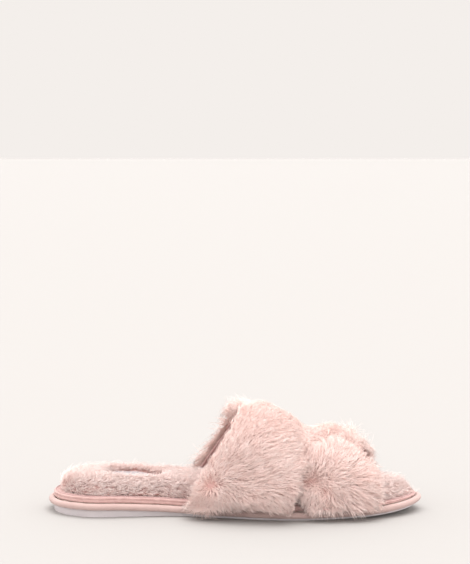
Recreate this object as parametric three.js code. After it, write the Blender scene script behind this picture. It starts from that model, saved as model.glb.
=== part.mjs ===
// A left open-toe slide slipper in plush, with two wide fur straps that cross over the instep.
// Millimetres, +Z up, +X towards the toe, -Y the inner (medial) side. The sole is drawn from its heel end,
// and the finished group is moved so that the origin is under the middle of the whole slipper.
import * as THREE from "three";

// ---- Driving dimensions ----

// Sole outline, measured over the piping. Stations are distances from the heel end, or back from the toe end.
const soleLength = 260;
const heelWidth = 70;
const heelStation = 30;
const waistInner = 31;
const waistOuter = 36.5;
const waistStation = 88;
const ballInner = 46;
const ballOuter = 47.5;
const ballStation = 165;
const toeInner = 38;
const toeOuter = 34.5;
const toeSideBack = 32;
const toeCornerBack = 10;
const toeTipSide = -2;
const heelCornerShare = new THREE.Vector2(0.26, 0.62);
const toeCornerShare = 0.6;
const sideFullness = 1;
const forefootTaper = 3;

// Heights of the sole unit.
const outsoleHeel = 5;
const outsoleForefoot = 1.5;
const wedgeStart = 40;
const wedgeEnd = 118;
const toeSpring = 5;
const springStart = 185;
const springPower = 1.7;
const platformHeight = 8.8;
const footbedHeel = 11;
const footbedForefoot = 8.4;

// Sole pieces.
const outsoleInset = 3.8;
const outsoleEdgeRadius = 1.4;
const boardThickness = 1.2;
const pipingDiameter = 4.6;
const toeWall = 1.6; // side wall above the piping at the toe
const platformToe = pipingDiameter + toeWall;
const pipingFabric = 0.8;
const pipingSlit = 0.5;
const wallInset = 4;
const wrapThickness = 0.9;
const wrapTurnIn = 9;
const footbedInset = 6.2;
const plushPile = 4.6;
const footbedCrown = 1.4;
const foamCornerRadius = 2;
const pipingSides = 8;
const threadDiameter = 0.8;
const stitchFromEdge = 1.1;

// Heel label.
const labelLength = 42;
const labelWidth = 30;
const labelThickness = 0.5;
const labelStation = 58;
const labelStitchInset = 2.2;
const labelLift = 0.5;
const labelStitchCount = 28;

// Straps: edges at five stations over the arch, from the inner sole edge to the outer one, for the upper strap.
const strapRearEdge = [95, 122, 136, 155, 176];
const strapFrontEdge = [169, 180, 208, 226, 227];
const archHeights = [56, 48.5, 37, 32, 24];
const archRearStation = 125;
const archFrontStation = 228;
const archFullness = 2.3;
const liningThickness = 1;
const strapFoam = 2;
const strapPile = 8;
const pressedPile = 2.2;
const crossingRamp = 13;
const crossingEdge = 8;
const hemHeight = 2.6;
const liningMargin = 5;
const foamMargin = 7;
const seamMargin = 2.8;

// Fits.
const gap = 0.35;
const layerGap = 0.5;
const crossingClearance = 0.8;

// Fineness.
const outlineSteps = 48;
const archSteps = 20;
const acrossSteps = 9;

// ---- Small helpers ----

const mix = (a, b, share) => a + (b - a) * share;

// Rises smoothly from 0 to 1 as a value goes from one limit to the other, whichever limit is larger.
function ramp(value, from, to) {
  const share = THREE.MathUtils.clamp((value - from) / (to - from), 0, 1);
  return share * share * (3 - 2 * share);
}

// A uniform curve through evenly spaced values, read at a share from 0 to 1.
function through(values) {
  const line = new THREE.CatmullRomCurve3(
    values.map((value, i) => new THREE.Vector3(i, value, 0)), false, "catmullrom",
  );
  return (share) => line.getPoint(THREE.MathUtils.clamp(share, 0, 1)).y;
}

// Moves every vertex by a rule, which turns a plain extrusion or lathe into a bent one.
function reshape(geometry, rule) {
  const place = geometry.attributes.position;
  const point = new THREE.Vector3();
  for (let i = 0; i < place.count; i++) {
    rule(point.fromBufferAttribute(place, i));
    place.setXYZ(i, point.x, point.y, point.z);
  }
  return geometry;
}

const slipper = new THREE.Group();

function piece(name, geometry, color, roughness) {
  const material = new THREE.MeshStandardMaterial({ color, roughness, metalness: 0 });
  const mesh = new THREE.Mesh(geometry, material);
  mesh.name = name;
  slipper.add(mesh);
}

// ---- Sole outline and its height lines ----

// Stations from the heel end round the inner side to the toe, then back along the outer side.
const heelHalf = heelWidth / 2;
const heelCorner = heelCornerShare.clone().multiply(new THREE.Vector2(heelStation, heelHalf));
const between = (a, b) => (a + b) / 2;
const sideStations = (waist, ball, toe) => [
  [heelCorner.x, heelCorner.y],
  [heelStation, heelHalf],
  [between(heelStation, waistStation), between(heelHalf, waist) + sideFullness / 2],
  [waistStation, waist],
  [between(waistStation, ballStation), between(waist, ball) + sideFullness / 2],
  [ballStation, ball],
  [soleLength - 2 * toeSideBack, ball - forefootTaper],
  [soleLength - toeSideBack, toe],
  [soleLength - toeCornerBack, toeCornerShare * toe],
];
const innerStations = sideStations(waistInner, ballInner, toeInner);
const outerStations = sideStations(waistOuter, ballOuter, toeOuter);
const outline = new THREE.CatmullRomCurve3([
  new THREE.Vector3(0, 0, 0),
  ...innerStations.map(([x, half]) => new THREE.Vector3(x, -half, 0)),
  new THREE.Vector3(soleLength, toeTipSide, 0),
  ...outerStations.toReversed().map(([x, half]) => new THREE.Vector3(x, half, 0)),
], true, "centripetal");
const edgePoints = outline.getSpacedPoints(outlineSteps).slice(0, outlineSteps);
const edgeNormals = edgePoints.map((_, i) => {
  const before = edgePoints[(i + outlineSteps - 1) % outlineSteps];
  const after = edgePoints[(i + 1) % outlineSteps];
  return new THREE.Vector3(before.y - after.y, after.x - before.x, 0).normalize();
});
const fineEdge = outline.getSpacedPoints(outlineSteps * 6);

// Half-width of the sole at a distance from the heel, on one side (-1 inner, 1 outer).
function halfWidth(x, side) {
  let best = 0;
  for (let i = 1; i < fineEdge.length; i++) {
    const [a, b] = [fineEdge[i - 1], fineEdge[i]];
    const crosses = (a.x - x) * (b.x - x) <= 0 && a.x !== b.x;
    if (crosses) best = Math.max(best, side * mix(a.y, b.y, (x - a.x) / (b.x - a.x)));
  }
  return best;
}

const spring = (x) => toeSpring * Math.max(0, (x - springStart) / (soleLength - springStart)) ** springPower;
const ground = (x) => spring(x);
const platformBase = (x) => spring(x) + mix(outsoleHeel, outsoleForefoot, ramp(x, wedgeStart, wedgeEnd));
const platformTop = (x) => platformBase(x) + mix(platformHeight, platformToe, ramp(x, springStart, soleLength));
const footbedTop = (x) => platformTop(x) + mix(footbedHeel, footbedForefoot, ramp(x, wedgeStart, ballStation));
const above = (line, height) => (x) => line(x) + height;

// ---- Sole layers ----

// Every layer has rings of vertices at the same places inside the sole: these shares of the way from its
// middle to a line that lies inside every layer's edge.
const innerRings = [0, 0.4, 0.74, 1];
const innermostEdge = footbedInset + plushPile + foamCornerRadius + 2 * gap;
const middle = new THREE.Vector3(between(waistStation, ballStation), 0, 0);

// A lathe whose circle is stretched to the sole outline. Each corner is [inset, height line], or
// [{ share }, height line] for a ring that lies between the middle (share 0) and the innermost edge (share 1).
function soleLayer(corners) {
  const profile = corners.map(([inset], i) => new THREE.Vector2(inset.share === 0 ? 0 : 1, i));
  if (profile[0].x !== 0) profile.push(profile[0].clone());
  const lathe = new THREE.LatheGeometry(profile, outlineSteps);
  const turn = (2 * Math.PI) / outlineSteps;
  return reshape(lathe, (point) => {
    const [inset, line] = corners[Math.round(point.y)];
    const step = Math.round(Math.atan2(point.x, point.z) / turn + outlineSteps) % outlineSteps;
    const edge = edgePoints[step];
    const distance = inset.share === undefined ? inset : innermostEdge;
    point.copy(edge).addScaledVector(edgeNormals[step], distance);
    if (inset.share !== undefined) point.lerpVectors(middle, point.clone(), inset.share);
    point.z = line(point.x);
  });
}

// Flat rings over the inside of the sole, at one height line, from the middle outwards.
const inward = (line) => innerRings.map((share) => [{ share }, line]);
const outward = (line) => inward(line).reverse();

// A slab with a square edge. Its corners run along the underside and back over the top.
const slab = (inset, low, high) => [...inward(low), [inset, low], [inset, high], ...outward(high)];

// ---- Outsole ----

// Flat underneath, with a rounded lower edge.
function outsole() {
  const top = above(platformBase, -gap);
  const roundHeight = Math.min(outsoleEdgeRadius, outsoleForefoot - gap) / 2;
  return soleLayer([
    ...inward(ground), [outsoleInset + outsoleEdgeRadius, ground],
    [outsoleInset + 0.3 * outsoleEdgeRadius, above(ground, roundHeight)], [outsoleInset, top],
    ...outward(top),
  ]);
}

// ---- Board, midsole, wrap and piping ----

const pipingRadius = pipingDiameter / 2;
const pipingTop = above(platformBase, pipingDiameter);
const boardInset = pipingDiameter + gap;
const boardTop = above(platformBase, boardThickness);
const wrapTop = platformTop;

function sideWrap() {
  const inner = wallInset + wrapThickness;
  const turned = wallInset + wrapTurnIn;
  const low = above(pipingTop, gap);
  const under = above(wrapTop, -wrapThickness);
  return soleLayer([
    [wallInset, low], [wallInset, above(wrapTop, -wrapThickness / 2)], [wallInset + wrapThickness / 2, wrapTop],
    [turned, wrapTop], [turned, under], [inner, under], [inner, low],
  ]);
}

function midsole() {
  const low = above(boardTop, gap);
  const high = above(wrapTop, -wrapThickness - gap);
  return soleLayer(slab(Math.max(wallInset + wrapThickness + gap, boardInset), low, high));
}

// The piping's fabric is a tube with a slit along its inner side, where its two edges meet the board.
function pipingCover() {
  const inside = pipingRadius - pipingFabric;
  const halfSlit = Math.asin(pipingSlit / inside);
  const arc = (radius, from, to) => Array.from({ length: pipingSides + 1 }, (_, i) => {
    const angle = mix(from, to, i / pipingSides);
    const inset = pipingRadius + radius * Math.cos(angle);
    return [inset, above(platformBase, pipingRadius + radius * Math.sin(angle))];
  });
  const [start, end] = [halfSlit, 2 * Math.PI - halfSlit];
  return soleLayer([...arc(inside, start, end), ...arc(pipingRadius, end, start)]);
}

function roundRing(inset, height, radius, sides) {
  return soleLayer(Array.from({ length: sides }, (_, i) => {
    const angle = (-2 * Math.PI * i) / sides;
    return [inset + radius * Math.cos(angle), above(height, radius * Math.sin(angle))];
  }));
}

// ---- Footbed ----

const footbedLow = above(wrapTop, gap);
const foamTop = above(footbedTop, -plushPile);

const plushInside = footbedInset + plushPile;

function footbedFoam() {
  const shoulder = above(foamTop, -foamCornerRadius);
  return soleLayer([
    ...inward(footbedLow), [plushInside + gap, footbedLow], [plushInside + gap, shoulder],
    [plushInside + foamCornerRadius, above(foamTop, -gap)], ...outward(above(foamTop, footbedCrown - gap)),
  ]);
}

// The plush is a cap over the foam, open underneath. Its rim is drawn as distances in from the footbed's widest
// line, each with its share of the way up.
const rimShape = [[0.8, 0], [0, 0.25], [0.6, 0.6], [2.6, 0.88], [6, 1]];

function footbedPlush() {
  const upTo = (share) => (x) => mix(footbedLow(x), footbedTop(x), share);
  return soleLayer([
    ...inward(above(foamTop, footbedCrown)), [plushInside + foamCornerRadius, foamTop],
    [plushInside, above(foamTop, -foamCornerRadius)], [plushInside, footbedLow],
    ...rimShape.map(([inset, share]) => [footbedInset + inset, upTo(share)]),
    ...outward(above(footbedTop, footbedCrown)),
  ]);
}

// The label lies flat on the pile, tilted as the footbed slopes down from the heel.
const labelRear = labelStation - labelLength / 2;
const labelFront = labelStation + labelLength / 2;
const labelSeat = (x) => footbedCrown + gap + labelLift
  + mix(footbedTop(labelRear), footbedTop(labelFront), (x - labelRear) / labelLength);

function heelLabel() {
  const oval = new THREE.Shape().absellipse(0, 0, labelLength / 2, labelWidth / 2, 0, 2 * Math.PI);
  const flatLabel = new THREE.ExtrudeGeometry(oval, {
    depth: labelThickness, bevelEnabled: false, curveSegments: 14,
  });
  return reshape(flatLabel, (point) => {
    point.x += labelStation;
    point.z += labelSeat(point.x);
  });
}

// A thread laid along points; its two ends stop short of each other where it goes round.
function thread(points, steps) {
  const path = new THREE.CatmullRomCurve3(points, false, "centripetal");
  const section = new THREE.Shape().absarc(0, 0, threadDiameter / 2, 0, 2 * Math.PI);
  return new THREE.ExtrudeGeometry(section, { extrudePath: path, steps, curveSegments: 3 });
}

function labelStitch() {
  const points = Array.from({ length: labelStitchCount }, (_, i) => {
    const angle = (2 * Math.PI * i) / labelStitchCount;
    const x = labelStation + (labelLength / 2 - labelStitchInset) * Math.cos(angle);
    const y = (labelWidth / 2 - labelStitchInset) * Math.sin(angle);
    return new THREE.Vector3(x, y, labelSeat(x) + labelThickness + gap + threadDiameter / 2);
  });
  return thread(points, Math.round(1.4 * labelStitchCount));
}

// ---- Strap arch ----

// The arch that the straps are bent over. Angle 0 is the inner sole edge, pi the outer one, and the outward
// distance is measured from the arch's own surface.
const archBase = above(pipingTop, gap);
const archHalf = (x, side) => halfWidth(x, side) - wallInset + gap;
const riseAlong = through(archHeights);
const archRise = (x) => riseAlong((x - archRearStation) / (archFrontStation - archRearStation));
const bulge = (value) => Math.sign(value) * Math.abs(value) ** (2 / archFullness);

function onArch(x, angle, outwards) {
  const side = angle < Math.PI / 2 ? -1 : 1;
  const across = (archHalf(x, side) + outwards) * Math.abs(bulge(Math.cos(angle)));
  const up = (archRise(x) + outwards) * bulge(Math.max(0, Math.sin(angle)));
  return new THREE.Vector3(x, side * across, archBase(x) + up);
}

const overRear = through(strapRearEdge);
const overFront = through(strapFrontEdge);
const over = { rear: overRear, front: overFront };
const under = { rear: (share) => overRear(1 - share), front: (share) => overFront(1 - share) };

// 1 over a strap's band and a little past it, and 0 beyond a ramp outside its two edges.
const inBand = (band, x, share) => ramp(band.rear(share) - crossingEdge - x, crossingRamp, 0)
  * ramp(x - crossingEdge - band.front(share), crossingRamp, 0);

// The upper strap rises off the sole's sides to ride over the lower one, whose pile is pressed down beneath it.
const pressedStack = liningThickness + strapFoam + pressedPile + 2 * layerGap;
const liftEnd = 1 / archSteps;
const endShare = (share) => Math.min(share, 1 - share);
const overLift = (share) => (pressedStack + crossingClearance) * Math.min(1, endShare(share) / liftEnd);
const underPile = (x, share) => mix(strapPile, pressedPile, inBand(over, x, share));

// A strap layer: a gridded slab of one unit each way, bent over the arch. Its depth runs from the layer's inner
// face to its outer one, its edges pull in by a margin, and it has vertices at each station along the arch.
function strapLayer(band, low, high, margin, stations) {
  const last = stations.length - 1;
  const slabOfCloth = new THREE.BoxGeometry(1, 1, last, acrossSteps, 1, last);
  return reshape(slabOfCloth, (point) => {
    const share = stations[Math.round(last / 2 - point.z)];
    const [rear, front] = [band.rear(share), band.front(share)];
    const x = THREE.MathUtils.clamp(mix(rear, front, point.x + 0.5), rear + margin, front - margin);
    const outwards = point.y < 0 ? low(x, share) : high(x, share, point.x + 0.5);
    point.copy(onArch(x, share * Math.PI, outwards));
  });
}

// The pile thins towards a strap's two edges.
const crown = (across) => 1 - 0.75 * Math.abs(2 * across - 1) ** 6;

// Shares of the arch where a strap's layers have vertices. The pile starts a hem's height above the ends.
const hemShare = hemHeight / (Math.PI * archHeights[0]);
const evenStations = Array.from({ length: archSteps - 1 }, (_, i) => (i + 1) / archSteps);
const pileStations = [hemShare, ...evenStations, 1 - hemShare];
const fullStations = [0, ...pileStations, 1];

function strapLayers(band, lift, pile) {
  const at = (depth) => (x, share) => lift(share) + depth;
  const foamLow = liningThickness + layerGap;
  const plushLow = foamLow + strapFoam + layerGap;
  const pileTop = (x, share, across) => lift(share) + plushLow + pile(x, share) * crown(across);
  return {
    lining: strapLayer(band, at(0), at(liningThickness), liningMargin, fullStations),
    foam: strapLayer(band, at(foamLow), at(foamLow + strapFoam), foamMargin, fullStations),
    plush: strapLayer(band, at(plushLow), pileTop, 0, pileStations),
  };
}

// The thread row along a strap's end, on the hem below the pile.
function hemStitch(band, lift, share) {
  const depth = liningThickness + strapFoam + 2 * layerGap + threadDiameter / 2;
  const hem = Math.abs(share - hemShare / 3);
  const margin = foamMargin + seamMargin;
  const points = Array.from({ length: acrossSteps }, (_, i) => {
    const x = mix(band.rear(hem) + margin, band.front(hem) - margin, i / (acrossSteps - 1));
    return onArch(x, hem * Math.PI, depth + lift(hem));
  });
  return thread(points, Math.round(1.5 * acrossSteps));
}

// The thread row under one edge of a strap, where its pile is sewn to its lining. Edge is 0 rear or 1 front.
function edgeSeam(band, lift, edge) {
  const depth = liningThickness + strapFoam + layerGap - threadDiameter;
  const points = fullStations.slice(1, -1).map((share) => {
    const x = edge === 0 ? band.rear(share) + seamMargin : band.front(share) - seamMargin;
    return onArch(x, share * Math.PI, lift(share) + depth);
  });
  return thread(points, Math.round(1.3 * archSteps));
}

// ---- Assembly ----

const fur = "#f0c9c4";
const velour = "#c99a97";
const threadPink = "#d3a7a3";
const foamCream = "#efe6d8";
const flat = () => 0;

piece("outsole", outsole(), "#dcdde0", 0.55);
piece("lasting_board", soleLayer(slab(boardInset, platformBase, boardTop)), "#b59a78", 0.8);
piece("midsole_foam", midsole(), foamCream, 0.9);
piece("side_wrap", sideWrap(), velour, 0.95);
piece("piping_cover", pipingCover(), "#e8bdb8", 0.85);
piece("piping_cord", roundRing(pipingRadius, above(platformBase, pipingRadius),
  pipingRadius - pipingFabric - gap, 6), "#f4f0ea", 0.8);
piece("wrap_stitch", roundRing(wallInset + stitchFromEdge, above(wrapTop, gap + threadDiameter / 2),
  threadDiameter / 2, 5), threadPink, 0.6);
piece("footbed_foam", footbedFoam(), foamCream, 0.9);
piece("footbed_plush", footbedPlush(), "#efc2bb", 0.95);
piece("heel_label", heelLabel(), "#c9c3cf", 0.6);
piece("label_stitch", labelStitch(), "#d9a3a8", 0.6);

for (const [name, band, lift, pile] of [
  ["over_strap", over, overLift, () => strapPile],
  ["under_strap", under, flat, underPile],
]) {
  const layers = strapLayers(band, lift, pile);
  piece(name + "_lining", layers.lining, "#dba49f", 0.95);
  piece(name + "_foam", layers.foam, foamCream, 0.9);
  piece(name + "_plush", layers.plush, fur, 0.95);
  piece(name + "_near_stitch", hemStitch(band, lift, 0), threadPink, 0.6);
  piece(name + "_far_stitch", hemStitch(band, lift, 1), threadPink, 0.6);
  piece(name + "_rear_seam", edgeSeam(band, lift, 0), threadPink, 0.6);
  piece(name + "_front_seam", edgeSeam(band, lift, 1), threadPink, 0.6);
}

// Over the whole slipper's middle, standing on the outsole.
const box = new THREE.Box3().setFromObject(slipper);
const centre = box.getCenter(new THREE.Vector3());
slipper.position.set(-centre.x, -centre.y, -box.min.z);

export default slipper;
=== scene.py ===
import math
import bpy
import numpy as np
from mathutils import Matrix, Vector, noise
from mathutils.bvhtree import BVHTree
from mathutils.kdtree import KDTree


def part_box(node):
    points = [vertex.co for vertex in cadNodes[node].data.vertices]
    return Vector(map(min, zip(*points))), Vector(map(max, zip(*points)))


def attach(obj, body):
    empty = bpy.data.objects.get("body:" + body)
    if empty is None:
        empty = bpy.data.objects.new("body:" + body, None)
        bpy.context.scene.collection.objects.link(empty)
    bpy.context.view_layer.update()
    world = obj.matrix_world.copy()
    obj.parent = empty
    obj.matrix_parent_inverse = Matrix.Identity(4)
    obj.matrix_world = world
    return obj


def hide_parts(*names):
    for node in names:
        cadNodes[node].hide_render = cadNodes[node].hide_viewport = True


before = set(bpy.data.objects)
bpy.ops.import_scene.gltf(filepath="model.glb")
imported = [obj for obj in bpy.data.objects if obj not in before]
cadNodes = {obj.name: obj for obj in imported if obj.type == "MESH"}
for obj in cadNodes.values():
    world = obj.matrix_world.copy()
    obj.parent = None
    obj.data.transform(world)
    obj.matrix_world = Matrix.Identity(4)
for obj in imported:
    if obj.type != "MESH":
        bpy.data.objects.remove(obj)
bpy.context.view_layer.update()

mm = 0.001
noise.seed_set(448)      # without a seed the noise vectors follow the clock

studio = {
    "lensMm": 110,
    "distance": 1.215,
    "elevation": 11,
    "aimHeight": 0.1585,
    "pivotHeight": 0.018,
    "floorSize": 60,
    "floorBack": 20,
    "floorColour": (0.411, 0.393, 0.380, 1),
    "floorRoughness": 0.9,
    "floorShine": 0.1,
    "backdropColour": (0.905, 0.863, 0.831, 1),
    "domeColour": (1.0, 0.985, 0.972, 1),
    "domeStrength": 1.76,
    "sunStrength": 1.65,
    "sunTilt": (-11, 7),
    "sunSoftness": 50,
}


def newObject(name, data):
    obj = bpy.data.objects.new(name, data)
    bpy.context.scene.collection.objects.link(obj)
    return obj


def makeStudio(s):
    scene = bpy.context.scene
    camData = bpy.data.cameras.new("camera")
    camData.lens = s["lensMm"]
    camera = newObject("camera", camData)
    up = math.radians(s["elevation"])
    camera.location = (0, -s["distance"] * math.cos(up), s["distance"] * math.sin(up) + s["pivotHeight"])
    toAim = Vector((0, 0, s["aimHeight"])) - camera.location
    camera.rotation_euler = toAim.to_track_quat("-Z", "Y").to_euler()
    scene.camera = camera

    bpy.ops.mesh.primitive_plane_add(size=s["floorSize"], location=(0, s["floorBack"], 0))
    floor = bpy.context.object
    floor.name = "floor"
    floorMat = bpy.data.materials.new("studioPaper")
    floorMat.use_nodes = True
    shader = floorMat.node_tree.nodes["Principled BSDF"]
    shader.inputs["Base Color"].default_value = s["floorColour"]
    shader.inputs["Roughness"].default_value = s["floorRoughness"]
    shader.inputs["Specular IOR Level"].default_value = s["floorShine"]
    floor.data.materials.append(floorMat)

    world = bpy.data.worlds.new("studio")
    world.use_nodes = True
    scene.world = world
    tree = world.node_tree
    light = tree.nodes["Background"]
    light.inputs["Color"].default_value = s["domeColour"]
    light.inputs["Strength"].default_value = s["domeStrength"]
    seen = tree.nodes.new("ShaderNodeBackground")      # what the camera sees behind the floor
    seen.inputs["Color"].default_value = s["backdropColour"]
    path = tree.nodes.new("ShaderNodeLightPath")
    either = tree.nodes.new("ShaderNodeMixShader")
    tree.links.new(path.outputs["Is Camera Ray"], either.inputs["Fac"])
    tree.links.new(light.outputs[0], either.inputs[1])
    tree.links.new(seen.outputs[0], either.inputs[2])
    tree.links.new(either.outputs[0], tree.nodes["World Output"].inputs["Surface"])

    sunData = bpy.data.lights.new("softbox", "SUN")
    sunData.energy = s["sunStrength"]
    sunData.angle = math.radians(s["sunSoftness"])
    sun = newObject("softbox", sunData)
    sun.rotation_euler = [math.radians(a) for a in s["sunTilt"]] + [0]
    scene.view_settings.view_transform = "Standard"


makeStudio(studio)
print("studio done")

sole = {
    "heelHalf": 35, "heelStation": 30,
    "waist": (31, 36.5), "waistStation": 88,
    "ball": (46, 47.5), "ballStation": 165,
    "toe": (38, 34.5), "toeSideBack": 32, "toeCornerBack": 10, "toeTipSide": -2,
    "outsoleHeel": 5, "outsoleForefoot": 1.5, "wedge": (40, 118),
    "toeSpring": 5, "springStart": 185, "springPower": 1.7,
    "platform": 8.8, "platformToe": 6.2, "footbedHeel": 11, "footbedForefoot": 8.4,
    "heelBack": (0.26, 0.62), "sideFullness": 0.5, "forefootTaper": 3, "toeCornerShare": 0.6,
    "outlineSteps": 480, "curveSteps": 40,
}
pipingLow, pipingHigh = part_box("piping_cover")
soleLength = (pipingHigh.x - pipingLow.x) / mm
heelX = pipingLow.x / mm        # the sole's own stations start here
sideShift = (pipingLow.y + pipingHigh.y) / 2 / mm - (sole["ball"][1] - sole["ball"][0]) / 2


def mix(a, b, share):
    return a + (b - a) * share


def ramp(value, start, end):
    share = np.clip((value - start) / (end - start), 0, 1)
    return share * share * (3 - 2 * share)


def sideStations(side):
    s = sole
    heel, waist, ball, toe = s["heelHalf"], s["waist"][side], s["ball"][side], s["toe"][side]
    fuller = s["sideFullness"]
    return [
        (s["heelBack"][0] * s["heelStation"], s["heelBack"][1] * heel),
        (s["heelStation"], heel),
        ((s["heelStation"] + s["waistStation"]) / 2, (heel + waist) / 2 + fuller),
        (s["waistStation"], waist),
        ((s["waistStation"] + s["ballStation"]) / 2, (waist + ball) / 2 + fuller),
        (s["ballStation"], ball),
        (soleLength - 2 * s["toeSideBack"], ball - s["forefootTaper"]),
        (soleLength - s["toeSideBack"], toe),
        (soleLength - s["toeCornerBack"], s["toeCornerShare"] * toe),
    ]


def roundCurve(points, count):
    # an even closed curve through the points, as a centripetal spline
    p = np.array(points, float)
    n = len(p)
    fine = []
    for i in range(n):
        a, b, c, d = p[i - 1], p[i], p[(i + 1) % n], p[(i + 2) % n]
        t1 = np.linalg.norm(b - a) ** 0.5
        t2 = t1 + np.linalg.norm(c - b) ** 0.5
        t3 = t2 + np.linalg.norm(d - c) ** 0.5
        for t in np.linspace(t1, t2, sole["curveSteps"], endpoint=False):
            ab = mix(a, b, t / t1)
            bc = mix(b, c, (t - t1) / (t2 - t1))
            cd = mix(c, d, (t - t2) / (t3 - t2))
            abc = mix(ab, bc, t / t2)
            bcd = mix(bc, cd, (t - t1) / (t3 - t1))
            fine.append(mix(abc, bcd, (t - t1) / (t2 - t1)))
    fine = np.array(fine + fine[:1])
    run = np.concatenate([[0], np.cumsum(np.linalg.norm(np.diff(fine, axis=0), axis=1))])
    even = np.linspace(0, run[-1], count, endpoint=False)
    return np.stack([np.interp(even, run, fine[:, k]) for k in (0, 1)], 1)


soleOutline = roundCurve(
    [(0, 0)] + [(x, -y) for x, y in sideStations(0)] + [(soleLength, sole["toeTipSide"])]
    + [(x, y) for x, y in reversed(sideStations(1))], sole["outlineSteps"])
ahead = np.roll(soleOutline, -1, 0) - np.roll(soleOutline, 1, 0)
outlineInward = np.stack([-ahead[:, 1], ahead[:, 0]], 1) / np.linalg.norm(ahead, axis=1)[:, None]


def spring(x):
    s = sole
    rise = np.maximum(0, (x - s["springStart"]) / (soleLength - s["springStart"]))
    return s["toeSpring"] * rise ** s["springPower"]


def platformBase(x):
    return spring(x) + mix(sole["outsoleHeel"], sole["outsoleForefoot"], ramp(x, *sole["wedge"]))


def platformTop(x):
    toeward = ramp(x, sole["springStart"], soleLength)
    return platformBase(x) + mix(sole["platform"], sole["platformToe"], toeward)


def footbedTop(x):
    ballward = ramp(x, sole["wedge"][0], sole["ballStation"])
    return platformTop(x) + mix(sole["footbedHeel"], sole["footbedForefoot"], ballward)


def soleRing(inset, height):
    # one ring of points round the sole, in metres in the frame
    flat = soleOutline + outlineInward * np.reshape(inset, (-1, 1))
    z = height(flat[:, 0])
    return np.stack([flat[:, 0] + heelX, flat[:, 1] + sideShift, z], 1) * mm


def objectMode():
    bpy.ops.object.mode_set(mode="OBJECT")


def editMode():
    bpy.ops.object.mode_set(mode="EDIT")


def deselect():
    if bpy.context.object and bpy.context.object.mode != "OBJECT":
        objectMode()
    bpy.ops.object.select_all(action="DESELECT")


def pick(obj):
    deselect()
    obj.select_set(True)
    bpy.context.view_layer.objects.active = obj


def places(obj):
    flat = np.zeros(len(obj.data.vertices) * 3)
    obj.data.vertices.foreach_get("co", flat)
    return flat.reshape(-1, 3)


def setPlaces(obj, points):
    obj.data.vertices.foreach_set("co", np.asarray(points, float).ravel())
    obj.data.update()


def vertexNormals(obj):
    obj.data.update()
    flat = np.zeros(len(obj.data.vertices) * 3)
    obj.data.vertices.foreach_get("normal", flat)
    return flat.reshape(-1, 3)


def skinTree(obj):
    return BVHTree.FromObject(obj, bpy.context.evaluated_depsgraph_get())


def addModifier(obj, kind, **settings):
    pick(obj)
    modifier = obj.modifiers.new(kind.lower(), kind)
    for key, value in settings.items():
        setattr(modifier, key, value)
    bpy.ops.object.modifier_apply(modifier=modifier.name)


def smooth(obj, angle=None):
    pick(obj)
    if angle is None:
        bpy.ops.object.shade_smooth()
    else:
        bpy.ops.object.shade_smooth_by_angle(angle=math.radians(angle))


def finishPiece(obj, material, standsFor=()):
    obj.data.materials.clear()
    obj.data.materials.append(material)
    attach(obj, "root")
    if standsFor:
        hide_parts(*standsFor)
    return obj


def editWhole(obj):
    pick(obj)
    editMode()
    bpy.ops.mesh.select_all(action="SELECT")


def faceOut():
    bpy.ops.mesh.normals_make_consistent(inside=False)
    objectMode()


def ringPiece(name, corners):
    # a circle primitive stretched to the sole outline, then extruded
    # ring by ring through the corners of the section and joined up
    steps = sole["outlineSteps"]
    deselect()
    bpy.ops.mesh.primitive_circle_add(vertices=steps, radius=0.1)
    obj = bpy.context.object
    obj.name = name
    setPlaces(obj, soleRing(*corners[0]))
    for corner in corners[1:]:
        editMode()
        bpy.ops.mesh.extrude_region_move(TRANSFORM_OT_translate={"value": (0, 0, 0)})
        objectMode()
        points = places(obj)
        points[-steps:] = soleRing(*corner)
        setPlaces(obj, points)
    editMode()
    bpy.ops.mesh.select_all(action="DESELECT")
    bpy.ops.mesh.select_non_manifold()
    bpy.ops.mesh.bridge_edge_loops()
    bpy.ops.mesh.select_all(action="SELECT")
    faceOut()
    return obj


def cadCopy(name, *nodeNames):
    # a merged copy of CAD solids, to start a soft piece from
    deselect()
    copies = []
    for node in nodeNames:
        copy = cadNodes[node].copy()
        copy.data = cadNodes[node].data.copy()
        copy.parent = None
        for key in list(copy.keys()):
            del copy[key]
        bpy.context.scene.collection.objects.link(copy)
        copies.append(copy)
        copy.hide_render = False
        copy.hide_set(False)
        copy.select_set(True)
    bpy.context.view_layer.objects.active = copies[0]
    if len(copies) > 1:
        bpy.ops.object.join()
    obj = bpy.context.object
    obj.name = name
    obj.data.name = name
    editWhole(obj)
    bpy.ops.mesh.remove_doubles(threshold=0.02 * mm)
    objectMode()
    return obj


cloth = {
    "frames": 20, "thinShare": 0.3,
    "settings": {"quality": 5, "mass": 0.2, "tension_stiffness": 20, "compression_stiffness": 20,
                 "bending_stiffness": 0.5, "use_pressure": True},
}


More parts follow.
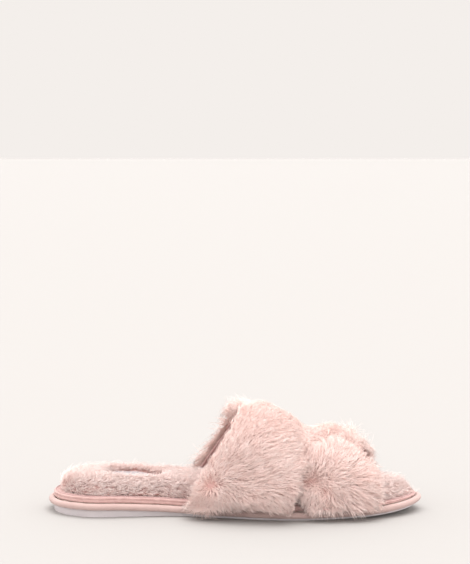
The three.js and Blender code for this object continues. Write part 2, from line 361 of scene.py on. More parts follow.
def puff(obj, s):
    # remeshes a soft solid, swells it as cloth, and keeps each point
    # within the cap of where it was
    addModifier(obj, "REMESH", mode="VOXEL", voxel_size=s["voxel"] * mm)
    points, normals = places(obj), vertexNormals(obj)
    skin = skinTree(obj)
    through = [skin.ray_cast(Vector(p) - Vector(n) * 1e-5, -Vector(n))[3] or 1
               for p, n in zip(points, normals)]
    inset = np.minimum(s["shrink"] * mm, cloth["thinShare"] * np.array(through))    # thin places shrink less
    setPlaces(obj, points - normals * inset[:, None])
    start = places(obj)
    pick(obj)
    swelling = obj.modifiers.new("cloth", "CLOTH")
    for key, value in cloth["settings"].items():
        setattr(swelling.settings, key, value)
    swelling.settings.uniform_pressure_force = s["pressure"]
    swelling.settings.effector_weights.gravity = 0
    swelling.collision_settings.use_collision = False
    scene = bpy.context.scene
    scene.frame_start, scene.frame_end = 1, cloth["frames"]
    for frameNumber in range(1, cloth["frames"] + 1):
        scene.frame_set(frameNumber)
    bpy.ops.object.modifier_apply(modifier=swelling.name)
    scene.frame_set(1)
    moved = places(obj) - start
    far = np.linalg.norm(moved, axis=1, keepdims=True)
    setPlaces(obj, start + moved * np.minimum(1, s["cap"] * mm / np.maximum(far, 1e-9)))
    return obj


def nodeGroup(name, inputs, outputs):
    group = bpy.data.node_groups.new(name, "ShaderNodeTree")
    for title, kind, value in inputs:
        socket = group.interface.new_socket(title, in_out="INPUT", socket_type=kind)
        socket.default_value = value
    for title, kind in outputs:
        group.interface.new_socket(title, in_out="OUTPUT", socket_type=kind)
    return group, group.nodes.new("NodeGroupInput"), group.nodes.new("NodeGroupOutput")


def addNode(tree, kind, links=(), **values):
    node = tree.nodes.new(kind)
    for key, value in values.items():
        if hasattr(node, key):
            setattr(node, key, value)
        else:
            node.inputs[key.replace("_", " ")].default_value = value
    for source, socket in links:
        tree.links.new(source, node.inputs[socket])
    return node


def blended(tree, share, first, second):
    return addNode(tree, "ShaderNodeMix", [(share, 0), (first, 6), (second, 7)], data_type="RGBA").outputs[2]


def makePatchyTint():
    # a colour that drifts between two tones in soft patches
    group, into, out = nodeGroup("patchyTint", [
        ("Colour", "NodeSocketColor", (0.8, 0.5, 0.5, 1)), ("Shade", "NodeSocketColor", (0.6, 0.3, 0.3, 1)),
        ("Scale", "NodeSocketFloat", 60.0), ("Amount", "NodeSocketFloat", 0.5),
    ], [("Colour", "NodeSocketColor")])
    coords = addNode(group, "ShaderNodeTexCoord")
    patches = addNode(group, "ShaderNodeTexNoise", [(coords.outputs["Object"], "Vector"),
                      (into.outputs["Scale"], "Scale")], Detail=4.0, Roughness=0.6)
    spread = addNode(group, "ShaderNodeMapRange", [(patches.outputs["Fac"], "Value")],
                     From_Min=0.3, From_Max=0.7)
    amount = addNode(group, "ShaderNodeMath", [(spread.outputs["Result"], 0), (into.outputs["Amount"], 1)],
                     operation="MULTIPLY")
    blend = blended(group, amount.outputs[0], into.outputs["Colour"], into.outputs["Shade"])
    group.links.new(blend, out.inputs["Colour"])
    return group


def makeNap():
    # the fine, directionless lay of short cut pile
    group, into, out = nodeGroup("nap", [
        ("Scale", "NodeSocketFloat", 900.0), ("Depth", "NodeSocketFloat", 0.4),
    ], [("Height", "NodeSocketFloat"), ("Normal", "NodeSocketVector")])
    coords = addNode(group, "ShaderNodeTexCoord")
    fibres = addNode(group, "ShaderNodeTexNoise", [(coords.outputs["Object"], "Vector"),
                     (into.outputs["Scale"], "Scale")], Detail=3.0, Roughness=0.7)
    bump = addNode(group, "ShaderNodeBump", [(fibres.outputs["Fac"], "Height"),
                   (into.outputs["Depth"], "Strength")], Distance=0.0006)
    group.links.new(fibres.outputs["Fac"], out.inputs["Height"])
    group.links.new(bump.outputs["Normal"], out.inputs["Normal"])
    return group


def makeWeave():
    # over-and-under threads, in Object coordinates
    group, into, out = nodeGroup("weave", [
        ("Scale", "NodeSocketFloat", 1500.0), ("Depth", "NodeSocketFloat", 0.5),
    ], [("Height", "NodeSocketFloat"), ("Normal", "NodeSocketVector")])
    coords = addNode(group, "ShaderNodeTexCoord")
    turned = addNode(group, "ShaderNodeMapping", [(coords.outputs["Object"], "Vector")],
                     Rotation=(0.6, 0.5, math.radians(45)))
    warp, weft = (addNode(group, "ShaderNodeTexWave", [(turned.outputs[0], "Vector"),
                          (into.outputs["Scale"], "Scale")], bands_direction=direction, Distortion=0.6)
                  for direction in ("X", "Y"))
    both = addNode(group, "ShaderNodeMath", [(warp.outputs["Fac"], 0), (weft.outputs["Fac"], 1)],
                   operation="MULTIPLY")
    bump = addNode(group, "ShaderNodeBump", [(both.outputs[0], "Height"),
                   (into.outputs["Depth"], "Strength")], Distance=0.0004)
    group.links.new(both.outputs[0], out.inputs["Height"])
    group.links.new(bump.outputs["Normal"], out.inputs["Normal"])
    return group


patchyTint = makePatchyTint()
nap = makeNap()
weave = makeWeave()


def softMaterial(name, surface, s):
    # cloth, foam, board or rubber: a patchy colour over a fine surface
    material = bpy.data.materials.new(name)
    material.use_nodes = True
    tree = material.node_tree
    shader = tree.nodes["Principled BSDF"]
    tint = addNode(tree, "ShaderNodeGroup", node_tree=patchyTint, Colour=(*s["colour"], 1),
                   Shade=(*s["shade"], 1), Scale=s["patches"], Amount=0.6)
    grain = addNode(tree, "ShaderNodeGroup", node_tree=surface, Scale=s["fineness"], Depth=s["depth"])
    rough = addNode(tree, "ShaderNodeMapRange", [(grain.outputs["Height"], "Value")],
                    To_Min=s["roughness"] - 0.08, To_Max=min(1.0, s["roughness"] + 0.08))
    tree.links.new(tint.outputs["Colour"], shader.inputs["Base Color"])
    tree.links.new(grain.outputs["Normal"], shader.inputs["Normal"])
    tree.links.new(rough.outputs["Result"], shader.inputs["Roughness"])
    shader.inputs["Specular IOR Level"].default_value = 0.25
    shader.inputs["Sheen Weight"].default_value = s["sheen"]
    shader.inputs["Sheen Tint"].default_value = (1, 0.9, 0.88, 1)
    return material


rubberMat = softMaterial("paleRubber", nap, {
    "colour": (0.64, 0.585, 0.595), "shade": (0.57, 0.515, 0.525), "patches": 45,
    "fineness": 2200, "depth": 0.15, "roughness": 0.5, "sheen": 0.0})
velourMat = softMaterial("dustyVelour", nap, {
    "colour": (0.62, 0.41, 0.38), "shade": (0.48, 0.28, 0.26), "patches": 220,
    "fineness": 1400, "depth": 0.7, "roughness": 0.95, "sheen": 0.35})
pipingMat = softMaterial("pipingFabric", weave, {
    "colour": (0.56, 0.40, 0.37), "shade": (0.47, 0.32, 0.295), "patches": 90,
    "fineness": 900, "depth": 0.35, "roughness": 0.85, "sheen": 0.25})
threadMat = softMaterial("pinkThread", weave, {
    "colour": (0.78, 0.52, 0.50), "shade": (0.60, 0.36, 0.35), "patches": 600,
    "fineness": 2600, "depth": 0.6, "roughness": 0.6, "sheen": 0.2})
foamLook = {"patches": 160, "fineness": 1800, "depth": 0.8, "roughness": 0.95, "sheen": 0.1}
foamMat = softMaterial("creamFoam", nap, {
    **foamLook, "colour": (0.88, 0.80, 0.68), "shade": (0.78, 0.68, 0.55)})
strapFoamMat = softMaterial("dyedFoam", nap, {
    **foamLook, "colour": (0.60, 0.37, 0.34), "shade": (0.50, 0.29, 0.26)})
boardMat = softMaterial("fibreBoard", nap, {
    "colour": (0.52, 0.38, 0.25), "shade": (0.38, 0.26, 0.16), "patches": 120,
    "fineness": 700, "depth": 0.6, "roughness": 0.9, "sheen": 0.0})
cordMat = softMaterial("cottonCord", weave, {
    "colour": (0.88, 0.84, 0.78), "shade": (0.75, 0.70, 0.64), "patches": 300,
    "fineness": 1200, "depth": 0.8, "roughness": 0.9, "sheen": 0.1})
labelMat = softMaterial("labelSatin", weave, {
    "colour": (0.37, 0.34, 0.355), "shade": (0.31, 0.28, 0.295), "patches": 150,
    "fineness": 1800, "depth": 0.4, "roughness": 0.45, "sheen": 0.3})
backingLook = {"patches": 150, "fineness": 900, "depth": 1.0, "roughness": 0.95, "sheen": 0.3}
undercoatMat = softMaterial("plushBacking", nap, {
    **backingLook, "colour": (0.60, 0.36, 0.33), "shade": (0.50, 0.28, 0.25)})
liningMat = softMaterial("liningBacking", nap, {
    **backingLook, "colour": (0.60, 0.37, 0.34), "shade": (0.50, 0.28, 0.26)})

straps = ("over_strap", "under_strap")
for node, material in (
    [("lasting_board", boardMat), ("midsole_foam", foamMat), ("footbed_foam", foamMat),
     ("piping_cord", cordMat)]
    + [(strap + "_foam", strapFoamMat) for strap in straps]
    + [(strap + part, threadMat) for strap in straps
       for part in ("_near_stitch", "_far_stitch", "_rear_seam", "_front_seam")]
):
    cadNodes[node].data.materials.clear()
    cadNodes[node].data.materials.append(material)
print("materials done")

outsole = {"inset": 3.8, "gap": 0.3, "edgeRound": 1.1, "roundSteps": 4, "columns": 120, "rows": 24}


def above(line, height):
    return lambda x: line(x) + height


def makeOutsole(s):
    # a grid primitive mapped between the sole's two sides, extruded up and bevelled
    deselect()
    bpy.ops.mesh.primitive_grid_add(x_subdivisions=s["columns"], y_subdivisions=s["rows"], size=1)
    obj = bpy.context.object
    obj.name = "outsolePiece"
    ring = soleOutline + outlineInward * s["inset"]
    toe = int(np.argmax(ring[:, 0]))
    inner, outer = ring[:toe + 1], np.concatenate([ring[toe:], ring[:1]])[::-1]
    share = places(obj)[:, :2] + 0.5
    rear, front = ring[:, 0].min(), ring[:, 0].max()
    x = rear + (front - rear) * (1 - np.cos(np.pi * share[:, 0])) / 2
    low = np.interp(x, inner[:, 0], inner[:, 1])
    high = np.interp(x, outer[:, 0], outer[:, 1])
    y = mix(low, high, share[:, 1])
    setPlaces(obj, np.stack([(x + heelX) * mm, (y + sideShift) * mm, spring(x) * mm], 1))
    editWhole(obj)
    bpy.ops.mesh.extrude_region_move(TRANSFORM_OT_translate={"value": (0, 0, mm)})
    objectMode()
    points = places(obj)
    lifted = points[:, 2] > spring(points[:, 0] / mm - heelX) * mm + 0.5 * mm
    points[lifted, 2] = (platformBase(points[lifted, 0] / mm - heelX) - s["gap"]) * mm
    setPlaces(obj, points)
    editWhole(obj)
    bpy.ops.mesh.remove_doubles(threshold=0.05 * mm)
    faceOut()
    addModifier(obj, "BEVEL", width=s["edgeRound"] * mm, segments=s["roundSteps"], limit_method="ANGLE",
                angle_limit=math.radians(50))
    smooth(obj, 40)
    return finishPiece(obj, rubberMat, ["outsole"])


makeOutsole(outsole)
print("outsole done")

wrap = {
    "inset": 4.0, "thickness": 0.9, "turnIn": 9, "gather": 0.5, "gathers": 150, "bulge": 0.45,
    "abovePiping": 0.1,
    "rows": (0, 0.12, 0.25, 0.38, 0.5, 0.62, 0.75, 0.88), "seed": 4,
}
wrapStitch = {"inset": 0.9, "lift": 0.32, "length": 2.0, "width": 0.62}
piping = {"diameter": 4.6, "wrinkle": 0.14, "wrinkles": 220, "sides": 18, "seed": 7}


def ripple(count, first, step, waves, seed):
    # a few sine waves of different lengths, added up round the sole
    rng = np.random.default_rng(seed)
    around = np.arange(sole["outlineSteps"]) / sole["outlineSteps"]
    return sum(np.sin(2 * np.pi * (round(count * (first + step * k)) * around + rng.random()))
               for k in range(waves))


def makeSideWrap(s):
    low = above(platformBase, piping["diameter"] + s["abovePiping"])
    top = platformTop

    def part(share):
        return lambda x: mix(low(x), top(x), share)

    outside = [(s["inset"] - s["bulge"] * math.sin(math.pi * ((share * 2) % 1)), part(share))
               for share in s["rows"]]
    under = above(top, -s["thickness"])
    obj = ringPiece("sideWrapPiece", outside + [
        (s["inset"] + 0.25, above(top, -0.12)), (s["inset"] + 0.8, top), (s["inset"] + s["turnIn"], top),
        (s["inset"] + s["turnIn"], under), (s["inset"] + s["thickness"], under),
        (s["inset"] + s["thickness"], low)])
    points = places(obj)
    steps = sole["outlineSteps"]
    wave = ripple(s["gathers"], 0.175, 0.15, 5, s["seed"]) * s["gather"] / 3
    for row in range(len(s["rows"])):
        amount = math.sin(math.pi * (row + 0.5) / len(s["rows"]))
        points[row * steps:(row + 1) * steps, :2] -= outlineInward * (wave * amount * mm)[:, None]
    setPlaces(obj, points)
    smooth(obj, 60)
    return finishPiece(obj, velourMat, ["side_wrap"])


def makeStitchRow(name, ring, out, s, standsFor):
    # one small stitch, repeated along a ring of points in one mesh
    deselect()
    bpy.ops.mesh.primitive_uv_sphere_add(segments=6, ring_count=4, radius=0.5)
    stitch = bpy.context.object
    shape = places(stitch) * np.array([s["length"], s["width"], s["width"]]) * mm
    faces = [tuple(p.vertices) for p in stitch.data.polygons]
    bpy.data.objects.remove(stitch)
    verts, polys = [], []
    n = len(ring)
    for i in range(n):
        along = ring[(i + 1) % n] - ring[i - 1]
        along = along / np.linalg.norm(along)
        side = out[i]
        up = np.cross(along, side)
        base = len(verts)
        verts += [ring[i] + along * u[0] + side * u[1] + up * u[2] for u in shape]
        polys += [tuple(base + k for k in f) for f in faces]
    mesh = bpy.data.meshes.new(name)
    mesh.from_pydata(verts, [], polys)
    obj = newObject(name, mesh)
    smooth(obj)
    return finishPiece(obj, threadMat, standsFor)


makeSideWrap(wrap)
flatOut = np.concatenate([-outlineInward, np.zeros((len(outlineInward), 1))], 1)
wrapStitchRing = soleRing(wrap["inset"] + wrapStitch["inset"], above(platformTop, wrapStitch["lift"]))
makeStitchRow("wrapStitches", wrapStitchRing, flatOut, wrapStitch, ["wrap_stitch"])
print("side wrap done")


def makePiping(s):
    radius = s["diameter"] / 2
    corners = []
    for i in range(s["sides"]):
        angle = -2 * math.pi * i / s["sides"]
        corners.append((radius + radius * math.cos(angle),
                        above(platformBase, radius + radius * math.sin(angle))))
    obj = ringPiece("pipingPiece", corners)
    points = places(obj)
    steps = sole["outlineSteps"]
    centre = soleRing(radius, above(platformBase, radius))
    wave = ripple(s["wrinkles"], 0.2, 0.17, 4, s["seed"]) / 3
    for row in range(s["sides"]):
        block = slice(row * steps, (row + 1) * steps)
        shift = np.roll(wave, row // 3)                # the wrinkles run a little askew
        outward = points[block] - centre
        points[block] = centre + outward * (1 + s["wrinkle"] * shift / 3)[:, None]
    setPlaces(obj, points)
    smooth(obj)
    return finishPiece(obj, pipingMat, ["piping_cover"])


makePiping(piping)
print("piping done")

footbed = {
    "voxel": 2.6, "shrink": 2.2, "pressure": 4, "cap": 1.4, "wall": 2.4, "lump": 0.6, "lumpSize": 90,
    "seed": 3, "rimLift": 0.45, "rimHeight": (1, 9), "openBelow": 0.8, "settle": 0.6,
}
strapPad = {
    "voxel": 2.0, "shrink": 2.4, "pressure": 3, "cap": 1.0, "lump": 0.8, "lumpSize": 70,
    "hemHeight": (10, 24), "settle": 0.6, "innerShare": 0.8, "feather": (2.4, 13), "swell": 7,
}
lining = {"voxel": 0.9, "smoothing": 6, "lump": 0.25, "lumpSize": 120}

archAxisHeight = 6
edgeShares = (0, 0.25, 0.5, 0.75, 1)
overEdges = ((95, 122, 136, 155, 176), (169, 180, 208, 226, 227))    # rear and front, inner side to outer
underEdges = tuple(edge[::-1] for edge in overEdges)
dip = {"station": 180, "length": 12, "depth": 3.4, "height": (36, 52)}


def strapPlace(points, edges):
    # how far a point is inside a strap's rear edge and its front edge
    y, z = points[:, 1] / mm, points[:, 2] / mm - archAxisHeight
    share = 1 - np.arctan2(np.maximum(z, 0), y) / math.pi
    x = points[:, 0] / mm - heelX
    rear, front = (np.interp(share, edgeShares, edge) for edge in edges)
    return x - rear, front - x


def unit(vectors):
    return vectors / np.maximum(np.linalg.norm(vectors, axis=-1, keepdims=True), 1e-12)


def archOutward(points):
    away = points.copy()
    away[:, 0] = 0
    away[:, 2] -= archAxisHeight * mm
    return unit(away)


def dipAt(points):
    # the fold across the over strap where it drops off its own rear part
    x = points[:, 0] / mm - heelX
    return np.exp(-((x - dip["station"]) / dip["length"]) ** 2) * ramp(points[:, 2] / mm, *dip["height"])


def lumpy(obj, size, depth, seed):
    points = places(obj)
    normals = vertexNormals(obj)
    offset = Vector((seed, 2.3 * seed, 0))
    shift = np.array([noise.fractal(Vector(p) * size + offset, 1.0, 2.0, 2) for p in points])
    setPlaces(obj, points + normals * (shift * depth * mm)[:, None])


label = {
    "station": -72, "long": 42, "wide": 30, "thickness": 0.6, "pressed": 2.6, "pressedEdge": (0.92, 1.25),
    "pileEdge": 1.05, "lift": 0.35, "sides": 72, "rings": (0.96, 0.86, 0.7, 0.5, 0.3, 0.12),
    "smoothing": 8, "edgeRound": 0.15, "stitchInset": 1.6, "stitches": 54,
}
labelStitch = {"length": 1.8, "width": 0.8}


def labelShare(points):
    # 1 at the label's own edge, less inside it
    x = (points[:, 0] / mm - label["station"]) / (label["long"] / 2)
    y = (points[:, 1] / mm - sideShift) / (label["wide"] / 2)
    return np.sqrt(x * x + y * y)


def makeFootbed(s):
    obj = cadCopy("footbedPad", "footbed_plush", "footbed_foam")
    puff(obj, s)
    points = places(obj)
    floorZ = (platformTop(points[:, 0] / mm - heelX) + s["rimLift"]) * mm
    # the lower rim goes back down to the wrap
    low = 1 - ramp((points[:, 2] - floorZ) / mm, *s["rimHeight"])
    points[:, 2] = np.maximum(points[:, 2] - low * (s["shrink"] + s["settle"]) * mm, floorZ)
    setPlaces(obj, points)
    # the pad is open underneath, inside its rim
    pick(obj)
    editMode()
    bpy.ops.mesh.select_all(action="DESELECT")
    objectMode()
    limit = (platformTop(points[:, 0] / mm - heelX) + s["openBelow"]) * mm
    low = points[:, 2] < limit
    for polygon in obj.data.polygons:
        polygon.select = polygon.normal.z < -0.5 and all(low[v] for v in polygon.vertices)
    editMode()
    bpy.ops.mesh.delete(type="FACE")
    objectMode()
    addModifier(obj, "SUBSURF", levels=1, render_levels=1)
    lumpy(obj, s["lumpSize"], s["lump"], s["seed"])
    points = places(obj)
    upward = ramp(vertexNormals(obj)[:, 2], 0.1, 0.6)
    pressed = (1 - ramp(labelShare(points), *label["pressedEdge"])) * upward
    points[:, 2] -= pressed * label["pressed"] * mm
    setPlaces(obj, points)
    addModifier(obj, "SOLIDIFY", thickness=s["wall"] * mm, offset=-1)
    smooth(obj)
    finishPiece(obj, undercoatMat, ["footbed_plush"])
    return obj


def feather(points, depth, reach):
    # thins the over strap's outer face towards its front edge
    fromFront = strapPlace(points, overEdges)[1]
    return (1 - ramp(fromFront, -1, reach)) * depth * ramp(points[:, 2] / mm, 36, 50)


def swellAt(points):
    # the under strap fills up beside the over strap's two edges
    behind, inFront = (ramp(-inside, -4, 3) * (1 - ramp(-inside, 8, 34))
                       for inside in strapPlace(points, overEdges))
    return np.maximum(behind, inFront) * ramp(points[:, 2] / mm, 24, 40) * strapPad["swell"]


def makeStrapPad(name, node, s, seed, dipped=False):
    obj = cadCopy(name, node)
    puff(obj, s)
    points = places(obj)
    points[:, 2] -= (1 - ramp(points[:, 2] / mm, *s["hemHeight"])) * (s["shrink"] + s["settle"]) * mm
    setPlaces(obj, points)
    points = places(obj)
    facing = (vertexNormals(obj) * archOutward(points)).sum(1)
    outer, inner = ramp(facing, -0.2, 0.4), ramp(-facing, 0.2, 0.6)
    if dipped:
        points -= archOutward(points) * (inner * s["shrink"] * s["innerShare"])[:, None] * mm
        sunk = dipAt(points) * dip["depth"] + feather(points, *s["feather"])
        sunk = np.minimum(sunk, dip["depth"])
        points -= archOutward(points) * (sunk * outer)[:, None] * mm
    else:
        points += archOutward(points) * (swellAt(points) * outer)[:, None] * mm
    setPlaces(obj, points)
    addModifier(obj, "SUBSURF", levels=1, render_levels=1)
    lumpy(obj, s["lumpSize"], s["lump"], seed)
    smooth(obj)
    finishPiece(obj, undercoatMat, [node])
    return obj


def makeLining(name, node, s, seed):
    obj = cadCopy(name, node)
    addModifier(obj, "REMESH", mode="VOXEL", voxel_size=s["voxel"] * mm)
    addModifier(obj, "SMOOTH", factor=0.5, iterations=s["smoothing"])
    lumpy(obj, s["lumpSize"], s["lump"], seed)
    smooth(obj)
    finishPiece(obj, liningMat, [node])
    return obj


footbedPad = makeFootbed(footbed)
overPad = makeStrapPad("overStrapPad", "over_strap_plush", strapPad, 11, True)
underPad = makeStrapPad("underStrapPad", "under_strap_plush", strapPad, 17)
overLining = makeLining("overStrapLining", "over_strap_lining", lining, 23)
underLining = makeLining("underStrapLining", "under_strap_lining", lining, 29)
print("pads done")

longFur = {
    "width": 0.32, "wave": 0.05, "perClump": 26, "clumping": 0.55, "turn": 0.55, "turnScale": 38,
    "jitter": 0.22, "sink": 0.8, "rings": (0, 0.35, 0.7), "underfur": 0.38, "underfurLength": 0.5,
    "clearance": 0.8,
}
overFur = {
    **longFur, "name": "overStrapFur", "parts": 5, "strands": 32000, "length": 14.5, "rise": 0.36,
    "tipRise": 0.17, "sag": 0.10, "whorl": (-19, -52, 18), "hemSag": 0.9, "hemHeight": (6, 32),
}
underFur = {
    **longFur, "name": "underStrapFur", "parts": 4, "strands": 25600, "length": 13.5, "rise": 0.38,
    "tipRise": 0.18, "sag": 0.08, "whorl": (58.7, -50, 22), "hemSag": 0.5, "hemHeight": (4, 24),
}
footbedPile = {
    "name": "footbedPile", "parts": 3, "strands": 32800, "length": 7.6, "width": 0.34,
    "rise": 0.55, "tipRise": 0.4, "sag": 0.0, "wave": 0.08, "perClump": 20, "clumping": 0.4,
    "turn": 1.1, "turnScale": 34, "jitter": 0.25, "sink": 0.5, "whorl": (-400, 0, 20),
    "hemSag": 0.0, "hemHeight": (0, 1), "rings": (0, 0.5), "hiddenShare": 0.3,
    "underfur": 0.3, "underfurLength": 0.7, "clearance": 1.0,
}
liningPile = {
    "parts": 1, "strands": 8200, "length": 4.5, "width": 0.42,
    "rise": 0.8, "tipRise": 0.55, "sag": 0.25, "wave": 0.1, "perClump": 16, "clumping": 0.6,
    "turn": 1.6, "turnScale": 90, "jitter": 0.35, "sink": 0.3, "whorl": (-19, -52, 18),
    "hemSag": 0.0, "hemHeight": (0, 1), "rings": (0, 0.5),
    "underfur": 0.2, "underfurLength": 0.7, "clearance": 0.6,
}
furLimits = {"x": 131.5, "y": 66, "floor": 0.7}
strand = {
    "combFrom": (4, 34), "combLeast": 0.1, "whorlReach": (5, 24), "whorlLoose": 0.4, "whorlLength": 0.9,
    "looseTurn": 0.9, "lengthSpread": (0.65, 1.2), "riseSpread": (0.6, 1.3), "tipSpread": (0.3, 1.6),
    "looseRise": 1.7, "bendReach": 0.28, "tipReach": 0.88, "tipKeep": 0.25, "bendKeep": 0.7, "bendPull": 0.6,
    "pushReach": 0.004, "tipTaper": 0.6,
}


def noiseVectors(points, scale, seed):
    offset = Vector((seed, seed * 1.7, 0))
    return np.array([noise.noise_vector(Vector(p) * scale + offset) for p in points])


def scatter(skin, keep, count, rng):
    # even random roots on the skin's triangles, with the smooth normal at each
    mesh = skin.data
    mesh.calc_loop_triangles()
    corners = np.zeros(len(mesh.loop_triangles) * 3, int)
    mesh.loop_triangles.foreach_get("vertices", corners)
    corners = corners.reshape(-1, 3)
    points, normals = places(skin), vertexNormals(skin)
    a, b, c = (points[corners[:, k]] for k in range(3))
    cross = np.cross(b - a, c - a)
    size = np.linalg.norm(cross, axis=1) / 2
    weight = size * keep((a + b + c) / 3, unit(cross))
    chosen = rng.choice(len(corners), count, p=weight / weight.sum())
    u, v = rng.random(count), rng.random(count)
    over = u + v > 1
    u[over], v[over] = 1 - u[over], 1 - v[over]
    share = np.stack([1 - u - v, u, v], 1)[:, :, None]
    roots = (points[corners[chosen]] * share).sum(1)
    return roots, unit((normals[corners[chosen]] * share).sum(1))


def combed(roots, normals, extra, f, rng, seed):
    # away from the whorl, turned by slow noise, and down near the hem
    away = roots - np.array(f["whorl"]) * mm
    least = strand["combLeast"]
    far = ramp(np.linalg.norm(away, axis=1) / mm, *strand["combFrom"])
    lay = unit(away) * (least + (1 - least) * far)[:, None]
    lay = lay + extra
    lay = lay + noiseVectors(roots, f["turnScale"], seed) * f["turn"]
    hem = 1 - ramp(roots[:, 2] / mm, *f["hemHeight"])
    lay[:, 2] -= hem * f["hemSag"]
    lay -= normals * (lay * normals).sum(1, keepdims=True)
    lay = unit(lay) + rng.normal(0, f["jitter"], lay.shape)
    return unit(lay - normals * (lay * normals).sum(1, keepdims=True))


def strandPaths(roots, normals, shape, f, rng, seed):
    count = len(roots)
    lengthShare, extra = shape(roots)
    lay = combed(roots, normals, extra, f, rng, seed)
    fromWhorl = np.linalg.norm(roots - np.array(f["whorl"]) * mm, axis=1) / mm
    close = 1 - ramp(fromWhorl, *strand["whorlReach"])
    # shorter, upright hair between the long ones, and more of it near the whorl
    under = rng.random(count) < f["underfur"] + strand["whorlLoose"] * close
    loose = unit(rng.normal(0, 1, (count, 3)))
    loose = unit(loose - normals * (loose * normals).sum(1, keepdims=True))
    lay = unit(lay + loose * np.where(under, strand["looseTurn"], 0.0)[:, None])
    looseLength = mix(f["underfurLength"], strand["whorlLength"], close)
    lengthShare = lengthShare * np.where(under, looseLength, 1 - 0.3 * close)
    longEach = (f["length"] * mm * rng.uniform(*strand["lengthSpread"], count) * lengthShare)[:, None]
    down = np.array([0, 0, -1.0])
    stand = np.where(under, mix(strand["looseRise"], 1.0, close), 1 + 0.4 * close)[:, None]
    rise = f["rise"] * rng.uniform(*strand["riseSpread"], count)[:, None] * stand
    tipRise = f["tipRise"] * rng.uniform(*strand["tipSpread"], count)[:, None] * stand
    start = roots - normals * f["sink"] * mm
    bend = start + (normals * rise + lay * strand["bendReach"]) * longEach
    tip = start + (normals * tipRise + lay * strand["tipReach"] + down * f["sag"]) * longEach

    leaders = rng.choice(count, max(1, count // f["perClump"]), replace=False)
    tree = KDTree(len(leaders))
    for i, leader in enumerate(leaders):
        tree.insert(Vector(roots[leader]), i)
    tree.balance()
    nearest = np.array([tree.find(Vector(p))[1] for p in roots])
    lead = leaders[nearest]
    pull = f["clumping"] * (rng.uniform(0.5, 1.0, count) * np.where(under | under[lead], 0, 1))[:, None]
    apart = roots - roots[lead]
    tip = mix(tip, tip[lead] + apart * strand["tipKeep"], pull)
    bend = mix(bend, bend[lead] + apart * strand["bendKeep"], pull * strand["bendPull"])

    side = unit(np.cross(normals, lay))
    phase = rng.uniform(0, 2 * math.pi, len(leaders))[nearest][:, None]
    phase = phase + rng.normal(0, 0.5, (count, 1))
    steps = list(f["rings"]) + [1.0]
    path = []
    for t in steps:
        at = start * (1 - t) ** 2 + bend * 2 * t * (1 - t) + tip * t * t
        at = at + side * np.sin(phase + t * 4) * f["wave"] * longEach * t
        path.append(at)
    path = np.stack(path, 1)
    limit = furLimits
    path[:, :, 0] = np.clip(path[:, :, 0], -limit["x"] * mm, limit["x"] * mm)
    path[:, :, 1] = np.clip(path[:, :, 1], -limit["y"] * mm, limit["y"] * mm)
    path[:, :, 2] = np.maximum(path[:, :, 2], limit["floor"] * mm)
    return path, side, nearest


def pushOut(path, skins, clearance):
    # keeps every part of a strand but its root outside the pads
    trees = [skinTree(skin) for skin in skins]
    for k in range(1, path.shape[1]):
        lift = clearance * mm * min(1, k / 2)
        for i in range(len(path)):
            spot = Vector(path[i, k])
            for tree in trees:
                near, normal, _, far = tree.find_nearest(spot)
                height = (spot - near).dot(normal)
                if height < lift and far < strand["pushReach"]:
                    spot = spot + normal * (lift - height)
            path[i, k] = spot
    path[:, :, 2] = np.maximum(path[:, :, 2], furLimits["floor"] * mm)
    return path


def tintOf(roots, nearest, rng):
    # 0 to 1 for each strand: slow patches, a step for each tuft and a little of its own
    slow = np.array([noise.noise(Vector(p) * 45) for p in roots])
    tuft = rng.normal(0, 0.16, nearest.max() + 1)[nearest]
    return np.clip(0.5 + 0.35 * slow + tuft + rng.normal(0, 0.08, len(roots)), 0.02, 0.98)


def strandMesh(name, path, side, tint, f):
    # each strand is a closed three-sided spike
    count, rings = len(path), len(f["rings"])
    ahead = unit(path[:, 1:] - path[:, :-1])
    verts = np.zeros((count, rings * 3 + 1, 3))
    for k in range(rings):
        t = f["rings"][k]
        across = unit(side - ahead[:, k] * (side * ahead[:, k]).sum(1, keepdims=True))
        upward = np.cross(ahead[:, k], across)
        radius = f["width"] / 2 * mm * (1 - strand["tipTaper"] * t * t)
        for corner in range(3):
            angle = 2 * math.pi * corner / 3
            outward = across * math.cos(angle) + upward * math.sin(angle)
            verts[:, k * 3 + corner] = path[:, k] + outward * radius
    verts[:, -1] = path[:, -1]
    pattern = [(0, 2, 1)]
    for k in range(rings - 1):
        for corner in range(3):
            a, b = k * 3 + corner, k * 3 + (corner + 1) % 3
            pattern += [(a, b, b + 3), (a, b + 3, a + 3)]
    last, end = (rings - 1) * 3, rings * 3
    pattern += [(last + corner, last + (corner + 1) % 3, end) for corner in range(3)]
    pattern = np.array(pattern)
    faces = (np.arange(count)[:, None, None] * (end + 1) + pattern[None]).reshape(-1)

    mesh = bpy.data.meshes.new(name)
    mesh.vertices.add(count * (end + 1))
    mesh.vertices.foreach_set("co", verts.ravel())
    mesh.loops.add(len(faces))
    mesh.loops.foreach_set("vertex_index", faces)
    mesh.polygons.add(len(faces) // 3)
    mesh.polygons.foreach_set("loop_start", np.arange(0, len(faces), 3))
    mesh.polygons.foreach_set("use_smooth", np.ones(len(faces) // 3, bool))
    mesh.update(calc_edges=True)

    along = np.array([f["rings"][k] for k in range(rings) for _ in range(3)] + [1.0])
    spread = np.array([(-0.006, 0.0, 0.006)[k % 3] for k in range(rings * 3)] + [0.0])
    uv = np.zeros((count, end + 1, 2))
    uv[:, :, 0] = np.clip(tint[:, None] + spread[None], 0.005, 0.995)
    uv[:, :, 1] = 0.01 + 0.98 * along[None]
    layer = mesh.uv_layers.new(name="OFBake")
    layer.data.foreach_set("uv", uv.reshape(-1, 2)[faces].ravel())
    return newObject(name, mesh)


